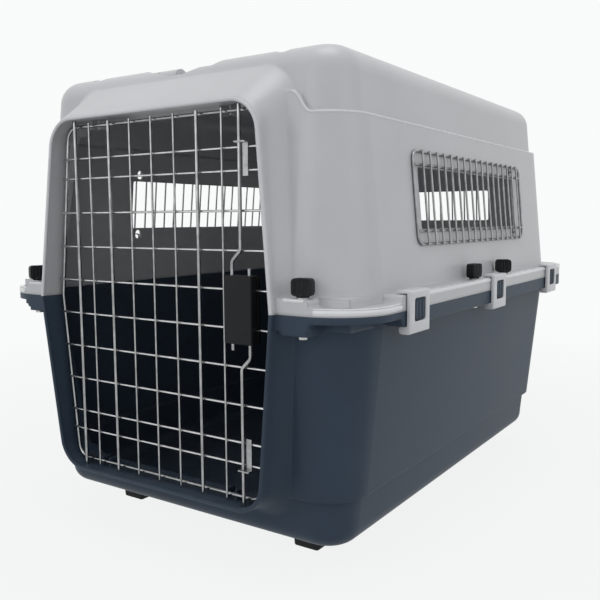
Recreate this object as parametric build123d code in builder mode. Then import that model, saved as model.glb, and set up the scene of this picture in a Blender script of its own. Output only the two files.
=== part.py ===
from build123d import *
from math import atan, cos, radians, sin, tan
import os

# A two-shell plastic pet kennel with a wire door and wire window grilles.
# Door faces -Y, +X is to the right of the door, +Z up, origin on the ground under the middle.

# Overall sizes
length = 916.0  # doorway lip to rear rim edge
rim_width = 672.0  # outer edge of the rim, side to side
roof_rise = 328.0  # parting plane to the low parts of the roof
floor_drop = 320.0  # parting plane to underside of the floor
foot_height = 36.0  # underside of the floor above the ground

# Shell walls
wall = 4.0
draft = 5.5  # degrees, every shell wall leans in away from the rim
corner_radius = 85.0
shoulder_rise = 246.0  # parting plane to the ledge under the crown
shoulder_inset = 9.0
plinth_drop = 249.0  # parting plane to the ledge above the plinth
plinth_inset = 8.0
roof_edge_radius = 36.0
floor_edge_radius = 26.0

# Rim
lip_overhang = 9.0  # doorway lip stands this far in front of the rim
side_overhang = 26.0  # rim edge to wall at the sides and rear
front_overhang = 23.0  # rim edge to wall at the front
rim_face = 20.0  # height of each shell's half of the rim
rim_plate = 4.0
rim_skirt = 4.0
rim_corner_radius = 78.0
scoop_face = 9.0  # height of the rim between front boss and first clip
scoop_length = 106.0  # scooped stretch along the side, from the rim's front edge
scoop_round = 5.0
boss_width = 46.0  # front and rear bolt bosses, from the doorway side outwards
boss_drop = 25.0  # underside of those bosses below the parting plane
boss_depth = 36.0
boss_corner_radius = 9.0

# Doorway
door_half_width = 218.0  # lip, at the parting plane
door_rise = 264.0  # lip top and bottom from the parting plane
door_draft = 6.0
door_corner_radius = 44.0
lip_wall = 4.0
reveal_depth = 75.0  # the doorway tunnel runs this far back from the lip
# Flare of the doorway's surround: depth behind the lip, growth of the outline
flare_steps = ((0, 0), (8, 0.7), (16, 2.7), (24, 6.5), (32, 12.5), (40, 22.0), (47, 34.0), (64, 50.0))
lip_tilt = 2.0  # degrees, the lip leans back from the parting plane
hood_depth = 92.0  # head of the sloping hood, behind the lip
hood_pocket_start = 48.0
hood_pocket_inset = 7.0
ledge_step_rise = 273.0  # the ledge climbs to here beside the hood
ledge_step_start = 240.0  # outer and inner ends of that climb from the middle plane
ledge_step_end = 207.0
lintel_depth = 8.0  # lintel thickness below the hood pocket
stop_place = 123.0  # middle of each pair of door stops from the middle plane
stop_spread = 16.0
stop_thickness = 3.0
stop_length = 16.0
stop_height = 13.0
stop_gap = 0.6

# Roof
panel_height = 6.0  # raised bands of the roof above its low parts
panel_draft = 58.0
middle_groove_half_width = 62.0
front_dip_drop = 4.0  # front edge of the middle groove below the roof's other low parts
middle_dip_drop = 11.0  # lowest point of that edge
middle_dip_half_width = 13.0
middle_dip_reach = 40.0  # the dip's sides end this far from the middle plane
side_groove_place = 173.5  # centre from the middle plane
side_groove_width = 14.0
groove_corner_radius = 6.0
channel_end_gap = 6.0  # rear channel to the roof's rounded rear edge
channel_half_width = 114.0
channel_head_gap = 20.0  # head of the hood to the front channel
channel_depth = 18.0
channel_reach = 162.0  # handle pivot to the inner end of its channel

# Carry handles
handle_pivot_inset = 14.0  # pivot from the outer end of its channel
handle_reach = 118.0  # pivot to grip
handle_hub_radius = 12.5
handle_hub_width = 37.0
handle_arm_width = 15.0
handle_arm_height = 14.0
handle_grip_radius = 8.0
handle_side_gap = 3.0  # handle to channel wall
handle_floor_gap = 2.5  # handle hub to channel floor
knuckle_width = 38.0
knuckle_gap = 1.0
handle_pin_radius = 3.0
seat_clearance = 0.1  # pins and screws in the holes that hold them
pin_clearance = 0.35  # pins in the holes that turn on them

# Windows and grilles
window_length = 414.0
window_height = 87.0
window_rise = 143.5  # centre above the parting plane
window_shift = 8.5  # centre of the window forward of the rim's middle, right side
window_corner_radius = 4.0
rear_window_length = 346.0
rear_window_height = 65.0
grille_length = 468.0
grille_margin = 21.5  # frame wire outside the window's long edges
grille_shift = 8.5  # grille centre beyond the window centre, towards the hooks
grille_corner_radius = 14.0
grille_wire_radius = 1.6
grille_frame_radius = 2.0
grille_gaps = 18
grille_hook_bar = 16
rear_grille_length = 401.0
rear_grille_gaps = 14
rear_hook_bar = 12
grille_seat = 0.2  # frame wire to wall
grille_rail_margin = 3.0  # long wires outside the window's edge
hook_slot_width = 14.0
hook_slot_height = 17.0
hook_margin = 11.5  # hooks outside the window's long edges
hook_wire_radius = 1.4
hook_foot = 9.0
hook_bend_radius = 3.0

# Door
door_setback = 27.0  # plane of the cross wires behind the lip
door_edge_gap = 14.0  # door frame centre line inside the lip at the sides
door_end_gap = 12.5  # door frame centre line inside the lip at top and bottom
door_frame_corner = 20.0
frame_wire_radius = 2.4
thin_wire_radius = 1.5
stiff_wire_radius = 2.3
rod_radius = 2.5
weld_gap = 0.05
upright_pitch = 41.5
upright_count = 7
stiff_uprights = (1, 5)
row_pitch = 50.3
row_pairs = 4
half_row_offset = 29.0  # extra row beyond the last regular one
wire_overrun = 3.5
rod_place = 154.0  # hinge rod and latch rods from the middle plane
hinge_engagement = 6.0

# Latch
latch_throw = 7.0
latch_tip_gap = 0.8  # rod tip to lintel when drawn back
slide_gap = 0.4
rod_jog = 14.0
jog_start = 76.0
jog_length = 14.0
rod_bend_radius = 8.0
rod_stub = 9.0
housing_width = 44.0
housing_height = 88.0
housing_front_wall = 5.0
housing_edge_radius = 2.5
back_plate_thickness = 5.0
spring_radius = 3.9
spring_wire_radius = 0.5
spring_turns = 7
collar_radius = 4.2
collar_height = 3.0
collar_rise = 9.0
chamber_half_width = 5.2
latch_screw_radius = 1.6
latch_screw_place = 37.0
latch_screw_head_radius = 3.2
latch_screw_head_height = 2.0
latch_screw_grip = 6.0
guide_width = 9.0
guide_thickness = 1.2
guide_tab = 1.6
guide_margin = 7.0
guide_rod_gap = 0.7

# Clips
clip_width = 58.0
clip_plate = 5.0
clip_gap = 0.4
clip_lip_gap = 0.8  # clip lip above the rim, so that it clears the rim's edge as it turns
clip_lip_reach = 14.0
clip_lip = 4.0
clip_spacing = 309.0
clip_window_width = 34.0
clip_window_height = 30.0
clip_pin_radius = 2.0
clip_pin_inset = 5.0  # pin axis inside the rim edge
clip_pin_drop = 5.4  # pin axis below the rim
clip_knuckle_radius = 5.0
clip_lug_width = 24.0
clip_lug_radius = 4.5
catch_width = 28.0
catch_height = 24.0
catch_proud = 3.0

# Bolts and wing nuts
bolt_radius = 3.0
bolt_hole_radius = 3.3
bolt_head_radius = 6.0
bolt_head_height = 4.0
bolt_boss_radius = 8.0
side_bolt_offset = 69.0  # from the rim's middle
side_bolt_inset = 13.0  # from the rim edge
end_bolt_offset = 32.0  # outwards from the doorway
end_bolt_inset = 11.0  # from the rim edge
washer_thickness = 1.5
washer_radius = 7.5
nut_gap = 0.3
nut_width = 26.0
nut_thickness = 13.0
nut_height = 23.0
nut_collar_radius = 8.5
nut_collar_height = 6.0
nut_wing_start = 3.0
nut_corner_radius = 5.0
nut_roof = 5.0  # closed top of the nut above the bolt

# Feet
foot_width = 48.0
foot_length = 60.0
foot_corner_radius = 8.0
foot_place = 176.0
foot_setback = 132.0  # front face of the front feet behind the lip
foot_draft = 5.0
foot_edge_radius = 3.0
foot_screw_radius = 1.7
foot_screw_depth = 14.0
foot_screw_head_radius = 4.5
foot_screw_head_height = 3.0

# Places that follow from the sizes
lip_y = -length / 2
rear_y = length / 2
rim_front_y = lip_y + lip_overhang
rim_mid_y = (rim_front_y + rear_y) / 2
rim_length = rear_y - rim_front_y
rim_height = foot_height + floor_drop  # parting plane above the ground
rim_half_width = rim_width / 2
wall_half_width = rim_half_width - side_overhang
wall_front_y = rim_front_y + front_overhang
wall_rear_y = rear_y - side_overhang
lean = tan(radians(draft))
door_lean = tan(radians(door_draft))
roof_z = rim_height + roof_rise
floor_z = rim_height - floor_drop
crown_setback = shoulder_rise * lean + shoulder_inset
plinth_setback = plinth_drop * lean + plinth_inset
roof_rear_y = wall_rear_y - crown_setback - (roof_rise - shoulder_rise) * lean - roof_edge_radius
lintel_z = rim_height + door_rise - lip_wall
sill_z = rim_height - door_rise + lip_wall
lip_setback = door_rise * tan(radians(lip_tilt))
hood_slope = (roof_rise - door_rise) / (hood_depth - lip_setback)
hood_head_y = lip_y + hood_depth
hood_back_y = hood_head_y + roof_edge_radius
cross_y = lip_y + door_setback
hinge_y = cross_y - thin_wire_radius - weld_gap - rod_radius
rod_y = cross_y - thin_wire_radius - slide_gap - rod_radius
frame_y = cross_y + thin_wire_radius + weld_gap + frame_wire_radius
stop_y = frame_y + frame_wire_radius + stop_gap + stop_length / 2
stop_xs = [side * stop_place + spread for side in (1, -1) for spread in (-stop_spread / 2, stop_spread / 2)]
door_frame_half = door_half_width - door_edge_gap
door_frame_rise = door_rise - door_end_gap
channel_floor_z = roof_z - channel_depth
handle_pivots = {
    "front": hood_head_y + channel_head_gap + handle_pivot_inset,
    "rear": roof_rear_y - channel_end_gap - handle_pivot_inset,
}
channels = {
    "front": (hood_head_y + channel_head_gap, handle_pivots["front"] + channel_reach),
    "rear": (handle_pivots["rear"] - channel_reach, roof_rear_y - channel_end_gap),
}
handle_folds = {"front": 1, "rear": -1}
handle_axis_z = channel_floor_z + handle_floor_gap + handle_hub_radius
hub_x = channel_half_width - handle_side_gap - handle_hub_width / 2
handle_arm_x = channel_half_width - handle_side_gap - handle_arm_width / 2
knuckle_x = hub_x - handle_hub_width / 2 - knuckle_gap - knuckle_width / 2
clip_pin_x = rim_half_width - clip_pin_inset
clip_pin_z = rim_height - rim_face - clip_pin_drop
clip_places = {"front": rim_mid_y - clip_spacing, "middle": rim_mid_y, "rear": rim_mid_y + clip_spacing}
sides = {"right": 1, "left": -1}
side_bolt_x = rim_half_width - side_bolt_inset
side_bolts = [
    (side * side_bolt_x, rim_mid_y + offset)
    for side in (1, -1)
    for offset in (-side_bolt_offset, side_bolt_offset)
]
end_bolt_place = door_half_width + end_bolt_offset
front_bolt_y = rim_front_y + end_bolt_inset
rear_bolt_y = rear_y - end_bolt_inset
end_bolts = [(side * end_bolt_place, y) for side in (1, -1) for y in (front_bolt_y, rear_bolt_y)]
nut_seat_z = rim_height + rim_face + washer_thickness + nut_gap
bolt_top_z = nut_seat_z + nut_height - nut_roof - nut_gap
foot_ys = {
    "front": lip_y + foot_setback + foot_length / 2,
    "rear": rear_y - foot_setback - foot_length / 2 + lip_overhang,
}
foot_places = [(side * foot_place, y) for side in (1, -1) for y in foot_ys.values()]

ABOVE = (Align.CENTER, Align.CENTER, Align.MIN)
BELOW = (Align.CENTER, Align.CENTER, Align.MAX)

os.makedirs("parts", exist_ok=True)


def front_plane(y, tilt=0):
    """Plane across the kennel, seen from the front, through y at the parting plane; tilt leans it back."""
    facing = (0, -cos(radians(tilt)), sin(radians(tilt)))
    return Plane(origin=(0, y, rim_height), x_dir=(1, 0, 0), z_dir=facing)


def wall_plane(side):
    """Plane on a side wall's outer face at its window: x towards the grille's hooks, y up the wall."""
    window_x = wall_half_width - window_rise * lean
    return Plane(
        origin=(side * window_x, rim_mid_y - side * window_shift, rim_height + window_rise),
        x_dir=(0, side, 0),
        z_dir=(side * cos(radians(draft)), 0, sin(radians(draft))),
    )


def rear_plane():
    """Plane on the rear wall's outer face at its window: x to the left side, y up the wall."""
    return Plane(
        origin=(0, wall_rear_y - window_rise * lean, rim_height + window_rise),
        x_dir=(-1, 0, 0),
        z_dir=(0, cos(radians(draft)), sin(radians(draft))),
    )


def save(piece, name):
    """Name a finished piece and write it out."""
    piece.part.label = name
    export_step(piece.part, f"parts/{name}.step")


def drafted_block(start_z, rise, setback):
    """Block with the plan of the walls, drawn in by setback, that leans in as it goes up or down."""
    with BuildPart() as block:
        with BuildSketch(Plane.XY.offset(start_z)):
            with Locations((0, (wall_front_y + wall_rear_y) / 2)):
                RectangleRounded(
                    2 * (wall_half_width - setback),
                    wall_rear_y - wall_front_y - 2 * setback,
                    corner_radius - setback,
                )
        extrude(amount=rise, taper=draft)
    return block.part


def crown_block(inset, band_height):
    """Upper part of the top shell, above the shoulder, with rounded roof edges."""
    rise = roof_rise - shoulder_rise + band_height
    with BuildPart() as block:
        add(drafted_block(rim_height + shoulder_rise - inset, rise, crown_setback + inset))
        fillet(block.faces().sort_by(Axis.Z)[-1].edges(), radius=roof_edge_radius - inset)
    return block.part


def plinth_block(inset):
    """Lowest band of the base shell, with a rounded bottom edge."""
    with BuildPart() as block:
        add(drafted_block(rim_height - plinth_drop + inset, plinth_drop - floor_drop, plinth_setback + inset))
        fillet(block.faces().sort_by(Axis.Z)[0].edges(), radius=floor_edge_radius - inset)
    return block.part


def doorway_outline(plane, up, half, rise, radius):
    """Half of the doorway's outline, above (up = 1) or below (up = -1) the parting plane."""
    end_half = half - rise * door_lean
    with BuildSketch(plane) as outline:
        with BuildLine():
            Polyline((-half, 0), (-end_half, up * rise), (end_half, up * rise), (half, 0), close=True)
        make_face()
        fillet(outline.vertices().group_by(Axis.Y)[-1 if up > 0 else 0], radius=radius)
    return outline.sketch


def lip_outline(up):
    """Outer edge of the doorway's lip, leaning back from the parting plane."""
    plane = front_plane(lip_y, up * lip_tilt)
    return doorway_outline(plane, up, door_half_width, door_rise, door_corner_radius)


def doorway_opening(up):
    """The straight way in, through the lip and the tunnel."""
    half = door_half_width - lip_wall
    rise = door_rise - lip_wall
    with BuildPart() as opening:
        for y in (lip_y - lip_wall, lip_y + reveal_depth):
            add(doorway_outline(front_plane(y), up, half, rise, door_corner_radius - lip_wall))
        loft(ruled=True)
    return opening.part


def hood_outline(back, inset):
    """Upright outline under the hood at a distance behind the lip, drawn in by inset."""
    rise = door_rise + min(back - lip_setback, hood_depth - lip_setback) * hood_slope
    drop = inset / cos(atan(hood_slope))
    plane = front_plane(lip_y + back)
    return doorway_outline(plane, 1, door_half_width - inset, rise - drop, door_corner_radius - inset)


def flared_outline(up, depth, growth, slope):
    """Outline of the doorway's surround behind the lip; its plane turns from the lip's to the wall's."""
    tilt = lip_tilt + (draft - lip_tilt) * min(depth / (wall_front_y - lip_y), 1)
    climb = (door_rise + (depth - lip_setback) * slope) / (1 - slope * tan(radians(tilt)))
    rise = min(max(climb, door_rise + growth), roof_rise + panel_height / 2)
    if depth == 0:
        rise = door_rise
    plane = front_plane(lip_y + depth, up * tilt)
    return doorway_outline(plane, up, door_half_width + growth, rise, door_corner_radius + growth / 2)


def surround_block(up, slope):
    """Doorway surround that flares from the lip into the front wall and slopes up above the door."""
    with BuildPart() as block:
        for depth, growth in flare_steps:
            add(flared_outline(up, depth, growth, slope))
        loft()
    return block.part


def ledge_climb():
    """The front wall carried up beside the hood, where the ledge under the crown climbs in a double bend."""
    middle = (ledge_step_start + ledge_step_end) / 2
    half_rise = (shoulder_rise + ledge_step_rise) / 2
    with BuildPart() as climb:
        with BuildSketch(front_plane(lip_y)):
            with BuildLine():
                Line((0, 0), (ledge_step_start, 0))
                Line((ledge_step_start, 0), (ledge_step_start, shoulder_rise))
                Spline(
                    (ledge_step_start, shoulder_rise),
                    (middle, half_rise),
                    (ledge_step_end, ledge_step_rise),
                    tangents=((-1, 0), (-1, 0)),
                )
                Line((ledge_step_end, ledge_step_rise), (0, ledge_step_rise))
                Line((0, ledge_step_rise), (0, 0))
            make_face()
            mirror(about=Plane.YZ)
        extrude(amount=-hood_depth)
        add(drafted_block(rim_height, ledge_step_rise, 0), mode=Mode.INTERSECT)
    return climb.part


def hood_pocket():
    """Hollow behind the hood, above the lintel."""
    reach = hood_depth + roof_edge_radius
    with BuildPart() as pocket:
        add(hood_outline(hood_pocket_start, hood_pocket_inset))
        add(hood_outline(hood_depth, hood_pocket_inset))
        loft(ruled=True)
        with Locations((0, lip_y, lintel_z + lintel_depth)):
            Box(4 * door_half_width, 2 * reach, door_rise, align=ABOVE, mode=Mode.INTERSECT)
    return pocket.part


def scoop_profile(plane):
    """Side view of what a scoop takes off the rim: a step at x = 0 with a rounded top and foot."""
    reach = 2 * scoop_length
    with BuildSketch(plane) as profile:
        with BuildLine():
            Polyline(
                (-reach, rim_face),
                (0, rim_face),
                (0, scoop_face),
                (reach, scoop_face),
                (reach, 2 * rim_face),
                (-reach, 2 * rim_face),
                close=True,
            )
        make_face()
        fillet(profile.vertices().filter_by_position(Axis.X, -wall, wall), radius=scoop_round)
    return profile.sketch


def rim_slab(up):
    """Rim of one shell: a slab with a hollow underside, scooped lower round the two front corners."""
    hollow_z = rim_height if up > 0 else rim_height - rim_face
    with BuildPart() as slab:
        with BuildSketch(Plane.XY.offset(rim_height)):
            with Locations((0, rim_mid_y)):
                RectangleRounded(rim_width, rim_length, rim_corner_radius)
        extrude(amount=up * rim_face)
        with BuildSketch(Plane.XY.offset(hollow_z)):
            with Locations((0, rim_mid_y)):
                RectangleRounded(
                    rim_width - 2 * rim_skirt,
                    rim_length - 2 * rim_skirt,
                    rim_corner_radius - rim_skirt,
                )
            with Locations((0, rim_front_y)):
                Rectangle(rim_width, 2 * (scoop_length + rim_skirt), mode=Mode.SUBTRACT)
            with Locations(*(side_bolts + end_bolts)):
                Circle(bolt_boss_radius, mode=Mode.SUBTRACT)
        extrude(amount=rim_face - rim_plate, mode=Mode.SUBTRACT)
        front_cut = front_overhang + wall
        side_cut = side_overhang + wall
        for side in (1, -1):
            boss_end_x = side * (door_half_width + boss_width)
            front_end = (boss_end_x, rim_front_y + side * up * front_cut, rim_height)
            front_scoop = scoop_profile(Plane(origin=front_end, x_dir=(side, 0, 0), z_dir=(0, -side * up, 0)))
            extrude(front_scoop, amount=2 * front_cut, mode=Mode.SUBTRACT)
            side_end = (side * rim_half_width + up * side_cut, rim_front_y + scoop_length, rim_height)
            side_scoop = scoop_profile(Plane(origin=side_end, x_dir=(0, -1, 0), z_dir=(-up, 0, 0)))
            extrude(side_scoop, amount=2 * side_cut, mode=Mode.SUBTRACT)
    return slab.part


def roof_form():
    """Outer form of the crown and hood together."""
    with BuildPart() as form:
        add(crown_block(0, panel_height))
        add(surround_block(1, hood_slope))
    return form.part


def channel_trough(start, end):
    """Walls and floor of one handle channel, hung under the roof skin."""
    with BuildPart() as trough:
        with Locations((0, (start + end) / 2, channel_floor_z - wall)):
            Box(
                2 * (channel_half_width + wall),
                end - start + 2 * wall,
                channel_depth + wall,
                align=ABOVE,
            )
        add(roof_form(), mode=Mode.INTERSECT)
    return trough.part


# Each window: plane, opening, then its grille's shift, length, gaps and the bar that carries the hooks
side_grille = (grille_shift, grille_length, grille_gaps, grille_hook_bar)
rear_grille = (0, rear_grille_length, rear_grille_gaps, rear_hook_bar)
windows = {
    "right": (wall_plane(1), window_length, window_height, side_grille),
    "left": (wall_plane(-1), window_length, window_height, side_grille),
    "rear": (rear_plane(), rear_window_length, rear_window_height, rear_grille),
}

# Top shell
with BuildPart() as top_shell:
    add(rim_slab(1))
    add(drafted_block(rim_height, shoulder_rise, 0))
    add(ledge_climb())
    add(roof_form())
    add(drafted_block(rim_height, shoulder_rise - wall, wall), mode=Mode.SUBTRACT)
    add(crown_block(wall, 0), mode=Mode.SUBTRACT)
    add(hood_pocket(), mode=Mode.SUBTRACT)
    for start, end in channels.values():
        add(channel_trough(start, end))
    add(channel_trough(hood_head_y - channel_depth / hood_slope, hood_head_y + channel_head_gap))
    with BuildSketch(Plane.XY.offset(roof_z)):
        with Locations((0, (lip_y + roof_rear_y) / 2)):
            RectangleRounded(2 * middle_groove_half_width, roof_rear_y - lip_y, groove_corner_radius)
            with Locations((side_groove_place, 0), (-side_groove_place, 0)):
                RectangleRounded(side_groove_width, roof_rear_y - lip_y, groove_corner_radius)
    extrude(amount=2 * panel_height, taper=-panel_draft, mode=Mode.SUBTRACT)
    dip_z = roof_rise - front_dip_drop
    dip_top = roof_rise + 2 * panel_height
    dip_spread = (dip_top - dip_z) * tan(radians(panel_draft))
    with BuildSketch(front_plane(lip_y)):
        with BuildLine():
            Polyline(
                (-middle_groove_half_width, dip_z),
                (-middle_dip_reach, dip_z),
                (-middle_dip_half_width, roof_rise - middle_dip_drop),
                (middle_dip_half_width, roof_rise - middle_dip_drop),
                (middle_dip_reach, dip_z),
                (middle_groove_half_width, dip_z),
                (middle_groove_half_width + dip_spread, dip_top),
                (-middle_groove_half_width - dip_spread, dip_top),
                close=True,
            )
        make_face()
    extrude(amount=-hood_depth - channel_head_gap - wall, mode=Mode.SUBTRACT)
    for start, end in channels.values():
        with Locations((0, (start + end) / 2, channel_floor_z)):
            Box(
                2 * channel_half_width,
                end - start,
                2 * channel_depth,
                align=ABOVE,
                mode=Mode.SUBTRACT,
            )
    knuckle_places = [(x, y, handle_axis_z) for x in (knuckle_x, -knuckle_x) for y in handle_pivots.values()]
    with Locations(*knuckle_places):
        Cylinder(handle_hub_radius, knuckle_width, rotation=(0, 90, 0))
        Box(
            knuckle_width,
            2 * handle_hub_radius,
            handle_axis_z - channel_floor_z + wall / 2,
            align=BELOW,
        )
        Cylinder(handle_pin_radius + seat_clearance, knuckle_width, rotation=(0, 90, 0), mode=Mode.SUBTRACT)
    add(doorway_opening(1), mode=Mode.SUBTRACT)
    with Locations(*[(x, stop_y, lintel_z) for x in stop_xs]):
        Box(stop_thickness, stop_length, 2 * stop_height)
    with Locations((-rod_place, hinge_y, lintel_z)):
        Cylinder(rod_radius + pin_clearance, 2 * (hinge_engagement + pin_clearance), mode=Mode.SUBTRACT)
    with Locations((rod_place, rod_y, lintel_z)):
        Cylinder(rod_radius + slide_gap, 2 * latch_throw, mode=Mode.SUBTRACT)
    for plane, opening_length, opening_height, (shift, reach, gaps, hook_bar) in windows.values():
        hook_place = shift - reach / 2 + hook_bar * reach / gaps
        hook_rise = opening_height / 2 + hook_margin
        with BuildSketch(plane):
            RectangleRounded(opening_length, opening_height, window_corner_radius)
            with Locations((hook_place, hook_rise), (hook_place, -hook_rise)):
                SlotOverall(hook_slot_height, hook_slot_width, rotation=90)
        extrude(amount=3 * wall, both=True, mode=Mode.SUBTRACT)
    with Locations(*[(x, y, rim_height) for x, y in side_bolts + end_bolts]):
        Cylinder(bolt_hole_radius, 3 * rim_face, mode=Mode.SUBTRACT)
save(top_shell, "top_shell")

# Base shell
with BuildPart() as base_shell:
    add(rim_slab(-1))
    add(drafted_block(rim_height, -plinth_drop, 0))
    add(plinth_block(0))
    add(surround_block(-1, 0))
    with BuildSketch(Plane.XY.offset(rim_height)):
        boss_x = door_half_width + boss_width / 2
        boss_ys = (rim_front_y + boss_depth / 2, rear_y - boss_depth / 2)
        with Locations(*[(side * boss_x, y) for side in (1, -1) for y in boss_ys]):
            RectangleRounded(boss_width, boss_depth, boss_corner_radius)
    extrude(amount=-boss_drop)
    add(drafted_block(rim_height, wall - plinth_drop, wall), mode=Mode.SUBTRACT)
    add(plinth_block(wall), mode=Mode.SUBTRACT)
    add(doorway_opening(-1), mode=Mode.SUBTRACT)
    with Locations(*[(x, stop_y, sill_z) for x in stop_xs]):
        Box(stop_thickness, stop_length, 2 * stop_height)
    with Locations((-rod_place, hinge_y, sill_z)):
        Cylinder(rod_radius + pin_clearance, 2 * (hinge_engagement + pin_clearance), mode=Mode.SUBTRACT)
    with Locations((rod_place, rod_y, sill_z)):
        Cylinder(rod_radius + slide_gap, 2 * latch_throw, mode=Mode.SUBTRACT)
    with Locations(*[(x, y, rim_height) for x, y in side_bolts + end_bolts]):
        Cylinder(bolt_hole_radius, 3 * boss_drop, mode=Mode.SUBTRACT)
    for side in (1, -1):
        for y in clip_places.values():
            with Locations((side * clip_pin_x, y, clip_pin_z)):
                Cylinder(clip_lug_radius, clip_lug_width, rotation=(90, 0, 0))
                Box(
                    2 * clip_lug_radius,
                    clip_lug_width,
                    clip_pin_drop + rim_face / 2,
                    align=ABOVE,
                )
                Cylinder(
                    clip_pin_radius + seat_clearance,
                    clip_lug_width,
                    rotation=(90, 0, 0),
                    mode=Mode.SUBTRACT,
                )
            with Locations((side * rim_half_width, y, rim_height)):
                Box(2 * catch_proud, catch_width, catch_height / 2, align=BELOW)
            tooth = catch_proud - seat_clearance
            with Locations((side * (rim_half_width + seat_clearance + tooth / 2), y, rim_height)):
                Box(tooth, catch_width, catch_height)
    with Locations(*[(x, y, floor_z) for x, y in foot_places]):
        Cylinder(foot_screw_radius + seat_clearance, 3 * wall, mode=Mode.SUBTRACT)
save(base_shell, "base_shell")

# Door frame: one round wire bent to the doorway's outline
door_frame_end_half = door_frame_half - door_frame_rise * door_lean
with BuildPart() as door_frame:
    with BuildLine(front_plane(frame_y)) as door_loop:
        FilletPolyline(
            (door_frame_half, 0),
            (door_frame_end_half, door_frame_rise),
            (-door_frame_end_half, door_frame_rise),
            (-door_frame_half, 0),
            (-door_frame_end_half, -door_frame_rise),
            (door_frame_end_half, -door_frame_rise),
            radius=door_frame_corner,
            close=True,
        )
    door_path = door_loop.wire()
    with BuildSketch(Plane(origin=door_path @ 0, z_dir=door_path % 0)):
        Circle(frame_wire_radius)
    sweep(path=door_path)
save(door_frame, "door_frame")

# Door cross wires, welded to the front of the frame
last_row = (row_pairs - 0.5) * row_pitch
row_heights = [(pair + 0.5) * row_pitch for pair in range(row_pairs)] + [last_row + half_row_offset]
with BuildPart() as door_cross_wires:
    for row in row_heights:
        row_length = 2 * (door_frame_half - row * door_lean + wire_overrun)
        with Locations((0, cross_y, rim_height + row), (0, cross_y, rim_height - row)):
            Cylinder(thin_wire_radius, row_length, rotation=(0, 90, 0))
save(door_cross_wires, "door_cross_wires")

# Door uprights, welded to the front of the cross wires; two of them are thicker
upright_xs = [(index - (upright_count - 1) / 2) * upright_pitch for index in range(upright_count)]
upright_length = 2 * (door_frame_rise + wire_overrun)
with BuildPart() as door_uprights:
    upright_y = cross_y - 2 * thin_wire_radius - weld_gap
    thin_xs = [x for index, x in enumerate(upright_xs) if index not in stiff_uprights]
    with Locations(*[(x, upright_y, rim_height) for x in thin_xs]):
        Cylinder(thin_wire_radius, upright_length)
save(door_uprights, "door_uprights")

with BuildPart() as door_stiffeners:
    stiffener_y = cross_y - thin_wire_radius - weld_gap - stiff_wire_radius
    with Locations(*[(upright_xs[i], stiffener_y, rim_height) for i in stiff_uprights]):
        Cylinder(stiff_wire_radius, upright_length)
save(door_stiffeners, "door_stiffeners")

# Hinge rod, its ends in the lintel and the sill
with BuildPart() as hinge_rod:
    with Locations((-rod_place, hinge_y, rim_height)):
        Cylinder(rod_radius, lintel_z - sill_z + 2 * hinge_engagement)
save(hinge_rod, "hinge_rod")

# Latch rods: each is cranked beside the housing, passes through it and carries a spring collar
latch_rod_ends = {"upper": 1, "lower": -1}
for name, up in latch_rod_ends.items():
    guide_x = rod_place - up * rod_jog
    with BuildPart() as latch_rod:
        with BuildLine(front_plane(rod_y)) as rod_line:
            FilletPolyline(
                (rod_place, up * (lintel_z - rim_height - latch_tip_gap)),
                (rod_place, up * jog_start),
                (guide_x, up * (jog_start - jog_length)),
                (guide_x, -up * (housing_height / 2 + rod_stub)),
                radius=rod_bend_radius,
            )
        rod_path = rod_line.wire()
        with BuildSketch(Plane(origin=rod_path @ 0, z_dir=rod_path % 0)):
            Circle(rod_radius)
        sweep(path=rod_path)
        with Locations((guide_x, rod_y, rim_height + up * (collar_rise + collar_height / 2))):
            Cylinder(collar_radius, collar_height)
    save(latch_rod, f"{name}_latch_rod")

# Latch springs, each between its rod's collar and the end of its chamber in the housing
chamber_half_height = row_pitch / 2 - thin_wire_radius - slide_gap
spring_start = -chamber_half_height + 2 * spring_wire_radius
spring_height = collar_rise - 2 * spring_wire_radius - spring_start
for name, up in latch_rod_ends.items():
    spring_foot = spring_start if up > 0 else -spring_start - spring_height
    spring_foot_plane = Plane(origin=(rod_place - up * rod_jog, rod_y, rim_height + spring_foot))
    with BuildPart() as latch_spring:
        with BuildLine(spring_foot_plane) as coil_line:
            Helix(pitch=spring_height / spring_turns, height=spring_height, radius=spring_radius)
        coil_path = coil_line.wire()
        with BuildSketch(Plane(origin=coil_path @ 0, z_dir=coil_path % 0)):
            Circle(spring_wire_radius)
        sweep(path=coil_path, is_frenet=True)
    save(latch_spring, f"{name}_latch_spring")

# Latch housing, clamped over two cross wires by its back plate
housing_back_y = cross_y - thin_wire_radius - weld_gap
housing_front_y = rod_y - rod_radius - slide_gap - housing_front_wall
screw_places = [(rod_place, latch_screw_place), (rod_place, -latch_screw_place)]
with BuildPart() as latch_housing:
    with Locations((rod_place, (housing_front_y + housing_back_y) / 2, rim_height)):
        Box(housing_width, housing_back_y - housing_front_y, housing_height)
    fillet(latch_housing.faces().sort_by(Axis.Y)[0].edges(), radius=housing_edge_radius)
    for jog in (rod_jog, -rod_jog):
        with Locations((rod_place + jog, housing_back_y, rim_height)):
            channel = rod_radius + slide_gap
            Box(2 * channel, 2 * (housing_back_y - rod_y + channel), 2 * housing_height, mode=Mode.SUBTRACT)
            chamber = housing_back_y - rod_y + chamber_half_width
            Box(2 * chamber_half_width, 2 * chamber, 2 * chamber_half_height, mode=Mode.SUBTRACT)
    with Locations(*[(x, housing_back_y, rim_height + z) for x, z in screw_places]):
        Cylinder(
            latch_screw_radius + seat_clearance,
            2 * latch_screw_grip,
            rotation=(90, 0, 0),
            mode=Mode.SUBTRACT,
        )
save(latch_housing, "latch_housing")

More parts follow.
